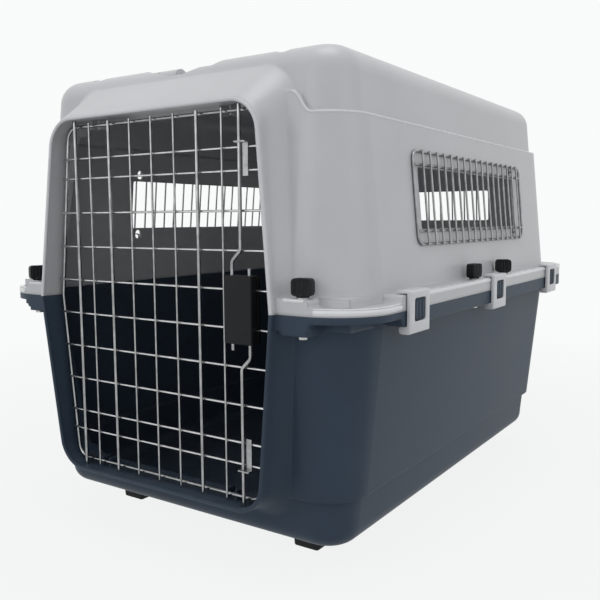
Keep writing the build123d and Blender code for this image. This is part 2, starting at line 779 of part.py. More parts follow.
back_plate_y = cross_y + thin_wire_radius + weld_gap
with BuildPart() as latch_back_plate:
    with Locations((rod_place, back_plate_y + back_plate_thickness / 2, rim_height)):
        Box(housing_width, back_plate_thickness, housing_height)
    fillet(latch_back_plate.edges().filter_by(Axis.Y), radius=2 * housing_edge_radius)
    with Locations(*[(x, back_plate_y, rim_height + z) for x, z in screw_places]):
        Cylinder(
            latch_screw_radius + seat_clearance,
            3 * back_plate_thickness,
            rotation=(90, 0, 0),
            mode=Mode.SUBTRACT,
        )
save(latch_back_plate, "latch_back_plate")

latch_screw_tip_y = housing_back_y - latch_screw_grip + seat_clearance
latch_screw_head_y = back_plate_y + back_plate_thickness
with BuildPart() as latch_screws:
    for x, z in screw_places:
        with Locations((x, (latch_screw_tip_y + latch_screw_head_y) / 2, rim_height + z)):
            Cylinder(latch_screw_radius, latch_screw_head_y - latch_screw_tip_y, rotation=(90, 0, 0))
        with Locations((x, latch_screw_head_y + latch_screw_head_height / 2, rim_height + z)):
            Cylinder(latch_screw_head_radius, latch_screw_head_height, rotation=(90, 0, 0))
save(latch_screws, "latch_screws")

# Rod guides: sheet strips across two cross wires, each with an eye round its rod
guide_back_y = cross_y - thin_wire_radius - weld_gap
guide_near_x = rod_place + rod_radius + guide_rod_gap
guide_low = last_row - guide_margin
guide_high = last_row + half_row_offset + guide_margin
for name, up in latch_rod_ends.items():
    with BuildPart() as rod_guide:
        strip_z = rim_height + up * (guide_low + guide_high) / 2
        with Locations((guide_near_x + guide_width / 2, guide_back_y - guide_thickness / 2, strip_z)):
            Box(guide_width, guide_thickness, guide_high - guide_low)
        eye_radius = rod_radius + slide_gap
        eye_rim = eye_radius + 2 * guide_thickness
        tab_z = rim_height + up * (guide_high - guide_tab / 2)
        with Locations((guide_near_x + guide_width, guide_back_y, tab_z)):
            Box(
                guide_near_x + guide_width - rod_place + eye_rim,
                guide_back_y - rod_y + eye_rim,
                guide_tab,
                align=(Align.MAX, Align.MAX, Align.CENTER),
            )
        with Locations((rod_place, rod_y, rim_height + up * guide_high)):
            Cylinder(eye_radius, 4 * guide_tab, mode=Mode.SUBTRACT)
    save(rod_guide, f"{name}_rod_guide")

# Window grilles: a frame wire on the wall, with long wires and bars welded to it
frame_top = grille_seat + 2 * grille_frame_radius
bar_height = frame_top + weld_gap + grille_wire_radius
for name, (plane, opening_length, opening_height, (shift, reach, gaps, hook_bar)) in windows.items():
    near = shift - reach / 2
    far = shift + reach / 2
    half_height = opening_height / 2 + grille_margin
    with BuildPart() as grille_frame:
        with BuildLine(plane.offset(grille_seat + grille_frame_radius)) as grille_loop:
            FilletPolyline(
                (near, half_height),
                (near, -half_height),
                (far, -half_height),
                (far, half_height),
                radius=grille_corner_radius,
                close=True,
            )
        grille_path = grille_loop.wire()
        with BuildSketch(Plane(origin=grille_path @ 0, z_dir=grille_path % 0)):
            Circle(grille_frame_radius)
        sweep(path=grille_path)
    save(grille_frame, f"grille_frame_{name}")

    hook_plane = Plane(
        origin=plane.from_local_coords((near + hook_bar * reach / gaps, 0, 0)),
        x_dir=plane.y_dir,
        z_dir=plane.x_dir,
    )
    with BuildPart(plane) as grille_bars:
        rail_length = reach - 2 * (grille_frame_radius + weld_gap)
        rail_height = frame_top - grille_wire_radius
        rail_rise = opening_height / 2 + grille_rail_margin
        with Locations((shift, rail_rise, rail_height), (shift, -rail_rise, rail_height)):
            Cylinder(grille_wire_radius, rail_length, rotation=(0, 90, 0))
        with Locations(*[(near + gap * reach / gaps, 0, bar_height) for gap in range(1, gaps)]):
            Cylinder(grille_wire_radius, 2 * (half_height + grille_frame_radius), rotation=(90, 0, 0))
        foot_depth = wall + seat_clearance + hook_wire_radius
        hook_rise = opening_height / 2 + hook_margin
        for up in (1, -1):
            with BuildLine(hook_plane) as hook_line:
                FilletPolyline(
                    (up * hook_rise, bar_height),
                    (up * hook_rise, -foot_depth),
                    (up * (hook_rise + hook_foot), -foot_depth),
                    radius=hook_bend_radius,
                )
            hook_path = hook_line.wire()
            with BuildSketch(Plane(origin=hook_path @ 0, z_dir=hook_path % 0)):
                Circle(hook_wire_radius)
            sweep(path=hook_path)
    save(grille_bars, f"grille_bars_{name}")

# Clips: each turns on a pin under the rim and hooks over the top shell's rim
clip_near_x = rim_half_width + catch_proud / 3 + clip_gap
clip_top_z = rim_height + rim_face + clip_lip_gap + clip_lip
clip_foot_z = clip_pin_z - clip_knuckle_radius
for side_name, side in sides.items():
    for place_name, y in clip_places.items():
        with BuildPart() as clip:
            with BuildSketch(Plane.XZ.offset(-y - clip_width / 2)):
                with BuildLine():
                    Polyline(
                        (side * clip_near_x, clip_foot_z),
                        (side * (clip_near_x + clip_plate), clip_foot_z),
                        (side * (clip_near_x + clip_plate), clip_top_z),
                        (side * (rim_half_width - clip_lip_reach), clip_top_z),
                        (side * (rim_half_width - clip_lip_reach), clip_top_z - clip_lip),
                        (side * clip_near_x, clip_top_z - clip_lip),
                        close=True,
                    )
                make_face()
                with Locations((side * clip_pin_x, clip_pin_z)):
                    Circle(clip_knuckle_radius)
                with Locations((side * (clip_pin_x + clip_near_x) / 2, clip_pin_z)):
                    Rectangle(clip_near_x - clip_pin_x + 1, 2 * clip_knuckle_radius)
            extrude(amount=clip_width)
            with Locations((side * (clip_near_x - clip_gap), y, clip_pin_z)):
                Box(
                    2 * (clip_near_x - clip_pin_x) + clip_knuckle_radius,
                    clip_lug_width + 2 * clip_gap,
                    3 * clip_knuckle_radius,
                    align=(Align.MAX if side > 0 else Align.MIN, Align.CENTER, Align.CENTER),
                    mode=Mode.SUBTRACT,
                )
            with Locations((side * clip_near_x, y, rim_height)):
                Box(4 * clip_plate, clip_window_width, clip_window_height, mode=Mode.SUBTRACT)
            with Locations((side * clip_pin_x, y, clip_pin_z)):
                Cylinder(clip_pin_radius + pin_clearance, clip_width, rotation=(90, 0, 0), mode=Mode.SUBTRACT)
        save(clip, f"clip_{side_name}_{place_name}")

with BuildPart() as clip_pins:
    with Locations(*[(side * clip_pin_x, y, clip_pin_z) for side in (1, -1) for y in clip_places.values()]):
        Cylinder(clip_pin_radius, clip_width, rotation=(90, 0, 0))
save(clip_pins, "clip_pins")

# Bolts, with heads under the base shell
for name, places, grip in (("side_bolts", side_bolts, rim_face), ("end_bolts", end_bolts, boss_drop)):
    seat_z = rim_height - grip
    with BuildPart() as bolts:
        for x, y in places:
            with Locations((x, y, seat_z)):
                Cylinder(bolt_radius, bolt_top_z - seat_z, align=ABOVE)
                Cylinder(bolt_head_radius, bolt_head_height, align=BELOW)
    save(bolts, name)

with BuildPart() as washers:
    washer_z = rim_height + rim_face + washer_thickness / 2
    with Locations(*[(x, y, washer_z) for x, y in side_bolts + end_bolts]):
        Cylinder(washer_radius, washer_thickness)
        Cylinder(bolt_hole_radius, washer_thickness, mode=Mode.SUBTRACT)
save(washers, "washers")

# Wing nuts, each left at the angle it was tightened to
wing_nuts = {
    "front_right": (end_bolt_place, front_bolt_y, 8),
    "front_left": (-end_bolt_place, front_bolt_y, 68),
    "rear_right": (end_bolt_place, rear_bolt_y, 14),
    "rear_left": (-end_bolt_place, rear_bolt_y, -9),
    "side_right_front": (side_bolt_x, rim_mid_y - side_bolt_offset, 82),
    "side_right_rear": (side_bolt_x, rim_mid_y + side_bolt_offset, 24),
    "side_left_front": (-side_bolt_x, rim_mid_y - side_bolt_offset, 57),
    "side_left_rear": (-side_bolt_x, rim_mid_y + side_bolt_offset, -38),
}
for name, (x, y, turn) in wing_nuts.items():
    wing_line = (cos(radians(turn)), sin(radians(turn)), 0)
    across = Axis((0, 0, 0), (-sin(radians(turn)), cos(radians(turn)), 0))
    with BuildPart(Plane(origin=(x, y, nut_seat_z), x_dir=wing_line, z_dir=(0, 0, 1))) as nut:
        with Locations((0, 0, nut_wing_start)):
            Box(
                nut_width,
                nut_thickness,
                nut_height - nut_wing_start,
                align=ABOVE,
            )
        fillet(nut.edges().filter_by(across), radius=nut_corner_radius)
        Cylinder(nut_collar_radius, nut_collar_height, align=ABOVE)
        Cylinder(bolt_radius + nut_gap, 2 * (nut_height - nut_roof), mode=Mode.SUBTRACT)
    save(nut, f"wing_nut_{name}")

# Feet under the floor and the screws that hold them
for side_name, side in sides.items():
    for end_name, y in foot_ys.items():
        with BuildPart() as foot:
            with BuildSketch(Plane.XY.offset(floor_z)):
                with Locations((side * foot_place, y)):
                    RectangleRounded(foot_width, foot_length, foot_corner_radius)
            extrude(amount=-floor_z, taper=foot_draft)
            fillet(foot.faces().sort_by(Axis.Z)[0].edges(), radius=foot_edge_radius)
            with Locations((side * foot_place, y, floor_z)):
                Cylinder(
                    foot_screw_radius + seat_clearance,
                    2 * (foot_screw_depth + seat_clearance),
                    mode=Mode.SUBTRACT,
                )
        save(foot, f"foot_{end_name}_{side_name}")

with BuildPart() as foot_screws:
    for x, y in foot_places:
        with Locations((x, y, floor_z + wall)):
            Cylinder(
                foot_screw_radius,
                foot_screw_depth + wall,
                align=BELOW,
            )
            Cylinder(
                foot_screw_head_radius,
                foot_screw_head_height,
                align=ABOVE,
            )
save(foot_screws, "foot_screws")

# Carry handles, folded flat in their channels
for name, pivot_y in handle_pivots.items():
    fold = handle_folds[name]
    with BuildPart() as carry_handle:
        with Locations((hub_x, pivot_y, handle_axis_z), (-hub_x, pivot_y, handle_axis_z)):
            Cylinder(handle_hub_radius, handle_hub_width, rotation=(0, 90, 0))
        arm_y = pivot_y + fold * handle_reach / 2
        with Locations((handle_arm_x, arm_y, handle_axis_z), (-handle_arm_x, arm_y, handle_axis_z)):
            Box(handle_arm_width, handle_reach, handle_arm_height)
        with Locations((0, pivot_y + fold * handle_reach, handle_axis_z)):
            Cylinder(handle_grip_radius, 2 * handle_arm_x + handle_arm_width, rotation=(0, 90, 0))
        with Locations((0, pivot_y, handle_axis_z)):
            Cylinder(handle_pin_radius + pin_clearance, 4 * hub_x, rotation=(0, 90, 0), mode=Mode.SUBTRACT)
    save(carry_handle, f"carry_handle_{name}")

with BuildPart() as handle_pins:
    pin_end_x = hub_x + handle_hub_width / 2
    pin_start_x = knuckle_x - knuckle_width / 2
    pin_x = (pin_start_x + pin_end_x) / 2
    with Locations(*[(side * pin_x, y, handle_axis_z) for side in (1, -1) for y in handle_pivots.values()]):
        Cylinder(handle_pin_radius, pin_end_x - pin_start_x, rotation=(0, 90, 0))
save(handle_pins, "handle_pins")
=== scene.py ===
from math import cos, floor, pi, radians, sin, tan

import bmesh
import bpy
from mathutils import Matrix, Vector


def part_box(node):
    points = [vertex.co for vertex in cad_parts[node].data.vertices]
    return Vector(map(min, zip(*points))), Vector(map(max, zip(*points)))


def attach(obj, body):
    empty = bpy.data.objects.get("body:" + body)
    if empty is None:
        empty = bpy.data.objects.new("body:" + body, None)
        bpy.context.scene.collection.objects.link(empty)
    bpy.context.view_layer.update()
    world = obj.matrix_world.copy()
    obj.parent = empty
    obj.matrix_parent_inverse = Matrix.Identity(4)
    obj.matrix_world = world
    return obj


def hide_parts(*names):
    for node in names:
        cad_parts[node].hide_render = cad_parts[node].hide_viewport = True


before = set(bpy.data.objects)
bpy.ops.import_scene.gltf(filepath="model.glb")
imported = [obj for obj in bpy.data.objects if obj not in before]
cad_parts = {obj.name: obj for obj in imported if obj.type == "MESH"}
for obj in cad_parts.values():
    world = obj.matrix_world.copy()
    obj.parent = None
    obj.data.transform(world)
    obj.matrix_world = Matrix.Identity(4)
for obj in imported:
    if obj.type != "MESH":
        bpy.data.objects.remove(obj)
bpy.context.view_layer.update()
scene = bpy.context.scene


# Shader nodes

def feed(tree, value, socket):
    """Set a socket to a plain number, or link another socket to it."""
    if isinstance(value, (int, float)):
        socket.default_value = value
    else:
        tree.links.new(value, socket)


def object_place(tree):
    """Where a point lies on its piece, in metres."""
    return tree.nodes.new("ShaderNodeTexCoord").outputs["Object"]


def math_node(tree, operation, first, second, clamp=False):
    """A Math node fed by sockets or plain numbers."""
    node = tree.nodes.new("ShaderNodeMath")
    node.operation = operation
    node.use_clamp = clamp
    feed(tree, first, node.inputs[0])
    feed(tree, second, node.inputs[1])
    return node.outputs[0]


def ramp_node(tree, value, low, high):
    """A smooth step from 0 at low to 1 at high."""
    node = tree.nodes.new("ShaderNodeMapRange")
    node.interpolation_type = "SMOOTHSTEP"
    tree.links.new(value, node.inputs["Value"])
    node.inputs["From Min"].default_value = low
    node.inputs["From Max"].default_value = high
    return node.outputs["Result"]


def spread(tree, value, low, high):
    """Maps 0..1 to low..high."""
    node = tree.nodes.new("ShaderNodeMapRange")
    tree.links.new(value, node.inputs["Value"])
    node.inputs["To Min"].default_value = low
    node.inputs["To Max"].default_value = high
    return node.outputs["Result"]


def noise_node(tree, vector, scale, detail=2.0, roughness=0.5):
    """Noise over the surface, about 0.5 on average."""
    node = tree.nodes.new("ShaderNodeTexNoise")
    tree.links.new(vector, node.inputs["Vector"])
    feed(tree, scale, node.inputs["Scale"])
    node.inputs["Detail"].default_value = detail
    node.inputs["Roughness"].default_value = roughness
    return node.outputs["Fac"]


def mix_colour(tree, factor, first, second):
    """A colour mix; first and second are sockets or RGB values."""
    node = tree.nodes.new("ShaderNodeMix")
    node.data_type = "RGBA"
    tree.links.new(factor, node.inputs["Factor"])
    for slot, value in ((6, first), (7, second)):
        if isinstance(value, tuple):
            node.inputs[slot].default_value = (*value, 1.0)
        else:
            tree.links.new(value, node.inputs[slot])
    return node.outputs[2]


# Node groups that several finishes share

def new_group(name, inputs, outputs):
    """A shader node group with number inputs at their values, and outputs of the kinds given."""
    group = bpy.data.node_groups.new(name, "ShaderNodeTree")
    for label, value in inputs.items():
        socket = group.interface.new_socket(label, in_out="INPUT", socket_type="NodeSocketFloat")
        socket.default_value = value
    for label, kind in outputs.items():
        group.interface.new_socket(label, in_out="OUTPUT", socket_type="NodeSocket" + kind)
    return group, group.nodes.new("NodeGroupInput").outputs, group.nodes.new("NodeGroupOutput").inputs


def moulded_grain_group():
    """Leathery grain of moulded plastic, faint flow patches and fine rub marks."""
    group, given, out = new_group(
        "Moulded Grain",
        {"Grain Scale": 1100.0, "Patch Scale": 7.0},
        {"Height": "Float", "Patches": "Float", "Rubs": "Float"},
    )
    where = object_place(group)
    pebble = group.nodes.new("ShaderNodeTexVoronoi")
    pebble.feature = "SMOOTH_F1"
    pebble.inputs["Smoothness"].default_value = 0.6
    group.links.new(where, pebble.inputs["Vector"])
    group.links.new(given["Grain Scale"], pebble.inputs["Scale"])
    fine = noise_node(group, where, given["Grain Scale"], 3.0, 0.6)
    height = math_node(group, "ADD", math_node(group, "MULTIPLY", pebble.outputs["Distance"], 0.7), fine)
    group.links.new(height, out["Height"])

    patches = noise_node(group, where, given["Patch Scale"], 4.0, 0.55)
    group.links.new(patches, out["Patches"])

    stretch = group.nodes.new("ShaderNodeMapping")
    stretch.inputs["Rotation"].default_value = (0.4, 0.9, 0.25)
    stretch.inputs["Scale"].default_value = (14.0, 420.0, 30.0)
    group.links.new(where, stretch.inputs["Vector"])
    rub_lines = ramp_node(group, noise_node(group, stretch.outputs["Vector"], 1.0), 0.62, 0.74)
    rub_areas = ramp_node(group, noise_node(group, where, 9.0), 0.52, 0.72)
    group.links.new(math_node(group, "MULTIPLY", rub_lines, rub_areas), out["Rubs"])
    return group


def soft_edge_group():
    """Rounded moulded edges, and a mask of where they are."""
    group, given, out = new_group("Soft Edges", {"Radius": 0.003}, {"Normal": "Vector", "Edge": "Float"})
    bevel = group.nodes.new("ShaderNodeBevel")
    bevel.samples = 6
    group.links.new(given["Radius"], bevel.inputs["Radius"])
    group.links.new(bevel.outputs["Normal"], out["Normal"])

    likeness = group.nodes.new("ShaderNodeVectorMath")
    likeness.operation = "DOT_PRODUCT"
    group.links.new(bevel.outputs["Normal"], likeness.inputs[0])
    group.links.new(group.nodes.new("ShaderNodeNewGeometry").outputs["Normal"], likeness.inputs[1])
    bent = math_node(group, "SUBTRACT", 1.0, likeness.outputs["Value"])
    group.links.new(ramp_node(group, bent, 0.01, 0.2), out["Edge"])
    return group


def settled_dust_group():
    """Thin dust on what faces up, broken by noise."""
    group, given, out = new_group("Settled Dust", {"Amount": 0.2}, {"Dust": "Float"})
    facing = group.nodes.new("ShaderNodeSeparateXYZ")
    group.links.new(group.nodes.new("ShaderNodeNewGeometry").outputs["Normal"], facing.inputs["Vector"])
    up = ramp_node(group, facing.outputs["Z"], 0.55, 1.0)
    grains = ramp_node(group, noise_node(group, object_place(group), 45.0, 5.0, 0.65), 0.35, 0.75)
    lying = math_node(group, "MULTIPLY", up, grains)
    group.links.new(math_node(group, "MULTIPLY", lying, given["Amount"]), out["Dust"])
    return group


def plated_wire_group():
    """Drawn and plated wire: a fine skin, tones that vary and dull patches."""
    group, given, out = new_group(
        "Plated Wire",
        {"Line Scale": 900.0},
        {"Tone": "Float", "Dull": "Float", "Height": "Float"},
    )
    where = object_place(group)
    group.links.new(noise_node(group, where, 60.0, 4.0, 0.6), out["Tone"])
    group.links.new(ramp_node(group, noise_node(group, where, 22.0, 3.0), 0.4, 0.75), out["Dull"])
    group.links.new(noise_node(group, where, given["Line Scale"], 3.0, 0.6), out["Height"])
    return group


moulded_grain = moulded_grain_group()
soft_edges = soft_edge_group()
settled_dust = settled_dust_group()
plated_wire = plated_wire_group()
dust_colour = (0.62, 0.6, 0.56)


# Finishes

def new_finish(name):
    """An empty material with its shader and output."""
    finish = bpy.data.materials.new(name)
    finish.use_nodes = True
    tree = finish.node_tree
    tree.nodes.clear()
    shader = tree.nodes.new("ShaderNodeBsdfPrincipled")
    output = tree.nodes.new("ShaderNodeOutputMaterial")
    tree.links.new(shader.outputs["BSDF"], output.inputs["Surface"])
    return finish, tree, shader


def place_group(tree, group, **values):
    """A node group in a material with its own values; returns its outputs."""
    node = tree.nodes.new("ShaderNodeGroup")
    node.node_tree = group
    for key, value in values.items():
        node.inputs[key.replace("_", " ")].default_value = value
    return node.outputs


def bumped(tree, shader, height, strength, distance, normal=None):
    """Bump the shader's normal by a height, on top of another normal where one is given."""
    bump = tree.nodes.new("ShaderNodeBump")
    bump.inputs["Strength"].default_value = strength
    bump.inputs["Distance"].default_value = distance
    tree.links.new(height, bump.inputs["Height"])
    if normal is not None:
        tree.links.new(normal, bump.inputs["Normal"])
    tree.links.new(bump.outputs["Normal"], shader.inputs["Normal"])


def plastic_finish(name, dark, light, rub, roughness, shine=0.45, grain=1100.0, strength=0.25, edge=0.003, dust=0.12):
    """Moulded plastic: two close tones in patches, rubbed edges, fine grain and a little dust."""
    finish, tree, shader = new_finish(name)
    skin = place_group(tree, moulded_grain, Grain_Scale=grain)
    edges = place_group(tree, soft_edges, Radius=edge)
    settled = place_group(tree, settled_dust, Amount=dust)["Dust"]

    worn = math_node(tree, "MULTIPLY", edges["Edge"], skin["Patches"])
    worn = math_node(tree, "MULTIPLY", worn, 0.5)
    worn = math_node(tree, "ADD", worn, math_node(tree, "MULTIPLY", skin["Rubs"], 0.25), clamp=True)
    colour = mix_colour(tree, ramp_node(tree, skin["Patches"], 0.3, 0.7), dark, light)
    colour = mix_colour(tree, worn, colour, rub)
    colour = mix_colour(tree, settled, colour, dust_colour)
    tree.links.new(colour, shader.inputs["Base Color"])

    rough = spread(tree, skin["Patches"], roughness - 0.06, roughness + 0.06)
    rough = math_node(tree, "ADD", rough, math_node(tree, "MULTIPLY", skin["Rubs"], 0.12))
    rough = math_node(tree, "ADD", rough, settled, clamp=True)
    tree.links.new(rough, shader.inputs["Roughness"])
    shader.inputs["Specular IOR Level"].default_value = shine
    bumped(tree, shader, skin["Height"], strength, 0.00025, edges["Normal"])
    return finish


def wire_finish(name, dark, light, roughness):
    """Bright plated wire, whose finishes below are set lighter or darker as painted highlight and painted shade."""
    finish, tree, shader = new_finish(name)
    wire = place_group(tree, plated_wire)
    colour = mix_colour(tree, ramp_node(tree, wire["Tone"], 0.3, 0.7), dark, light)
    tree.links.new(colour, shader.inputs["Base Color"])
    rough = spread(tree, wire["Dull"], roughness, roughness + 0.16)
    tree.links.new(rough, shader.inputs["Roughness"])
    shader.inputs["Metallic"].default_value = 1.0
    bumped(tree, shader, wire["Height"], 0.15, 0.0001)
    return finish


finishes = {
    "light_plastic": plastic_finish(
        "light_grey_plastic", dark=(0.485, 0.49, 0.5), light=(0.52, 0.525, 0.535), rub=(0.64, 0.64, 0.645),
        roughness=0.34, shine=0.5, edge=0.007),
    # A lighter grey than the shell's plastic, for rolled edges: a painted highlight along them.
    "edge_painted_highlight_plastic": plastic_finish(
        "edge_painted_highlight_grey_plastic", dark=(0.58, 0.585, 0.595), light=(0.62, 0.625, 0.635), rub=(0.72, 0.72, 0.725),
        roughness=0.26, shine=0.5),
    # A far lighter grey than the shell's plastic, for the rim's rolled edges: a painted highlight along the rim.
    "rim_painted_highlight_plastic": plastic_finish(
        "rim_painted_highlight_grey_plastic", dark=(0.72, 0.72, 0.73), light=(0.76, 0.76, 0.77), rub=(0.84, 0.84, 0.84),
        roughness=0.24, shine=0.5),
    "slate_plastic": plastic_finish(
        "slate_blue_plastic", dark=(0.034, 0.05, 0.073), light=(0.04, 0.059, 0.086), rub=(0.09, 0.115, 0.145),
        roughness=0.44, shine=0.13, edge=0.005, dust=0.04),
    "clip_plastic": plastic_finish(
        "clip_plastic", dark=(0.58, 0.585, 0.595), light=(0.62, 0.625, 0.635), rub=(0.72, 0.72, 0.725),
        roughness=0.34, edge=0.0012),
    "black_plastic": plastic_finish(
        "black_plastic", dark=(0.008, 0.0085, 0.0095), light=(0.013, 0.0135, 0.015), rub=(0.05, 0.05, 0.054),
        roughness=0.5, shine=0.16, grain=1600.0, edge=0.0012, dust=0.03),
    "foot_rubber": plastic_finish(
        "foot_rubber", dark=(0.012, 0.012, 0.013), light=(0.02, 0.02, 0.021), rub=(0.05, 0.05, 0.05),
        roughness=0.72, shine=0.25, grain=1400.0, strength=0.4, edge=0.0015, dust=0.06),
    # The door's cross wires are set lighter as a painted highlight and the door's other wires darker as a painted
    # shade, though all are one steel.
    "bright_wire": wire_finish("bright_wire", (0.5, 0.5, 0.51), (0.66, 0.66, 0.67), 0.2),
    "door_painted_shade_wire": wire_finish("door_painted_shade_wire", (0.28, 0.285, 0.29), (0.42, 0.425, 0.43), 0.16),
    # The grilles are set darker again, a painted shade standing in for a darker room seen in their reflections.
    "grille_painted_shade_wire": wire_finish("grille_painted_shade_wire", (0.26, 0.265, 0.27), (0.36, 0.365, 0.37), 0.24),
    "plain_steel": wire_finish("plain_steel", (0.42, 0.42, 0.43), (0.56, 0.56, 0.56), 0.26),
}


def finish_for(name):
    """Finish of a CAD node, by its name."""
    if name in ("top_shell", "carry_handle_front", "carry_handle_rear"):
        return "light_plastic"
    if name == "base_shell":
        return "slate_plastic"
    if name in ("latch_housing", "latch_back_plate") or name.startswith("wing_nut"):
        return "black_plastic"
    if name.startswith("foot") and name != "foot_screws":
        return "foot_rubber"
    if name.startswith("clip") and name != "clip_pins":
        return "clip_plastic"
    # Wire finishes differ in tone as painted light and shade: lighter for the door's cross wires, darker for the
    # grilles and the door's other wires.
    if name.startswith("grille_"):
        return "grille_painted_shade_wire"
    if name == "door_cross_wires":
        return "bright_wire"
    if name.startswith(("door_", "hinge_rod")) or name.endswith(("latch_rod", "rod_guide")):
        return "door_painted_shade_wire"
    return "plain_steel"


for name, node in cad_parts.items():
    finish = finishes[finish_for(name)]
    if node.material_slots:
        for slot in node.material_slots:
            slot.material = finish
    else:
        node.data.materials.append(finish)


# Modelling tools

def choose(*pieces):
    """Object mode, with only these pieces selected and the first one active."""
    if bpy.context.object and bpy.context.object.mode != "OBJECT":
        bpy.ops.object.mode_set(mode="OBJECT")
    bpy.ops.object.select_all(action="DESELECT")
    for piece in pieces:
        piece.select_set(True)
    if pieces:
        bpy.context.view_layer.objects.active = pieces[0]


def edit(piece):
    """Edit mode on this piece alone."""
    choose(piece)
    bpy.ops.object.mode_set(mode="EDIT")


def apply_place(piece):
    """Put the piece's place, turn and scale into its mesh."""
    choose(piece)
    bpy.ops.object.transform_apply(location=True, rotation=True, scale=True)


def pick(kind, test):
    """Select the faces, edges or corners of the piece in edit mode that pass a test."""
    bpy.ops.mesh.select_mode(type=kind)
    bpy.ops.mesh.select_all(action="DESELECT")
    data = bpy.context.edit_object.data
    mesh = bmesh.from_edit_mesh(data)
    for element in {"FACE": mesh.faces, "EDGE": mesh.edges, "VERT": mesh.verts}[kind]:
        if test(element):
            element.select_set(True)
    mesh.select_flush_mode()
    bmesh.update_edit_mesh(data)


def pick_faces(test):
    """Select the faces whose middle and normal pass a test."""
    pick("FACE", lambda face: test(face.calc_center_median(), face.normal))


def pick_edges(test):
    """Select the edges whose middle and direction pass a test."""
    def passes(edge):
        near, far = (corner.co for corner in edge.verts)
        return test((near + far) / 2, (far - near).normalized())

    pick("EDGE", passes)


def pick_corners(test):
    """Select the corners whose place passes a test."""
    pick("VERT", lambda corner: test(corner.co))


def pick_all():
    """Select every face."""
    pick("FACE", lambda face: True)


def round_edges(test, radius, segments):
    """Round the edges whose middle and direction pass a test."""
    pick_edges(test)
    bpy.ops.mesh.bevel(offset=radius, segments=segments, affect="EDGES")


def pull_faces(test, reach):
    """Extrude the faces that pass a test along x."""
    pick_faces(test)
    bpy.ops.mesh.extrude_region_move(TRANSFORM_OT_translate={"value": (reach, 0, 0)})


def ribbed_panel(on_face, in_panel, border, sunk, across, cuts, on_rib, slope, rise):
    """Sink a panel into a face, cut it into strips and raise every second strip as a rib."""
    pick_faces(on_face)
    bpy.ops.mesh.inset(thickness=border, depth=-sunk)
    for cut in cuts:
        pick_faces(in_panel)
        bpy.ops.mesh.bisect(plane_co=Vector(across) * cut, plane_no=across)
    pick_faces(lambda middle, normal: in_panel(middle, normal) and on_rib(middle))
    bpy.ops.mesh.inset(thickness=slope, depth=rise, use_individual=True)


def add_block(size, middle):
    """A cube at its size and place, ready to be shaped."""
    choose()
    bpy.ops.mesh.primitive_cube_add(size=1, location=middle)
    block = bpy.context.object
    block.scale = size
    apply_place(block)
    return block


def add_drum(radius, foot, head, sides=32):
    """An upright cylinder from foot to head."""
    choose()
    bpy.ops.mesh.primitive_cylinder_add(vertices=sides, radius=radius, depth=head - foot,
                                        location=(0, 0, (foot + head) / 2))
    drum = bpy.context.object
    apply_place(drum)
    return drum


def round_section(line, radius):
    """Give a drawn line a round section with closed ends, as a mesh."""
    line.data.dimensions = "3D"
    line.data.bevel_depth = radius
    line.data.bevel_resolution = 3
    line.data.use_fill_caps = True
    choose(line)
    bpy.ops.object.convert(target="MESH")
    return bpy.context.object


def rolled_strip(points, radius):
    """A round bead along a line of points."""
    line = bpy.data.curves.new("rolled_strip", "CURVE")
    line.dimensions = "3D"
    spline = line.splines.new("POLY")
    spline.points.add(len(points) - 1)
    for spot, point in zip(spline.points, points):
        spot.co = (*point, 1)
    strip = bpy.data.objects.new("rolled_strip", line)
    scene.collection.objects.link(strip)
    return round_section(strip, radius)


def soften(piece, width, angle=30):
    """Round the piece's edges with a small bevel."""
    choose(piece)
    bevel = piece.modifiers.new("soft edges", "BEVEL")
    bevel.width = width
    bevel.segments = 2
    bevel.limit_method = "ANGLE"
    bevel.angle_limit = radians(angle)
    bpy.ops.object.modifier_apply(modifier=bevel.name)


def drop(piece):
    """Remove a master or a tool that has done its work."""
    bpy.data.objects.remove(piece, do_unlink=True)


def combine(piece, tool, operation):
    """Join a tool shape to the piece, or cut it away, and drop the tool."""
    choose(piece)
    cut = piece.modifiers.new("combine", "BOOLEAN")
    cut.operation = operation
    cut.solver = "EXACT"
    cut.object = tool
    bpy.ops.object.modifier_apply(modifier=cut.name)
    drop(tool)


def copied(master, *places):
    """Copies of the master at these places, each with its own mesh, made one piece."""
    twins = []
    for place in places:
        twin = master.copy()
        twin.data = master.data.copy()
        scene.collection.objects.link(twin)
        twin.matrix_world = place
        twins.append(twin)
    bpy.context.view_layer.update()
    return joined(twins)


def joined(pieces):
    """Several pieces made one, with its place in its mesh."""
    choose(*pieces)
    if len(pieces) > 1:
        bpy.ops.object.join()
    whole = bpy.context.object
    apply_place(whole)
    return whole


def settle(piece, name, finish, body, stands_for=None):
    """Name the piece, smooth it, give it its finish and let it ride on its body."""
    choose(piece)
    bpy.ops.object.shade_smooth_by_angle(angle=radians(34))
    piece.name = name
    piece.data.name = name
    piece.data.materials.clear()
    piece.data.materials.append(finishes[finish])
    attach(piece, body)
    if stands_for:
        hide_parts(stands_for)


def shifted(x, y, z):
    return Matrix.Translation((x, y, z))


def turned(angle, axis):
    return Matrix.Rotation(angle, 4, axis)


def node_box(name):
    """Lowest and highest corners of a CAD node, as vectors."""
    return [Vector(corner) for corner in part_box(name)]


# Sizes that several pieces follow, in metres

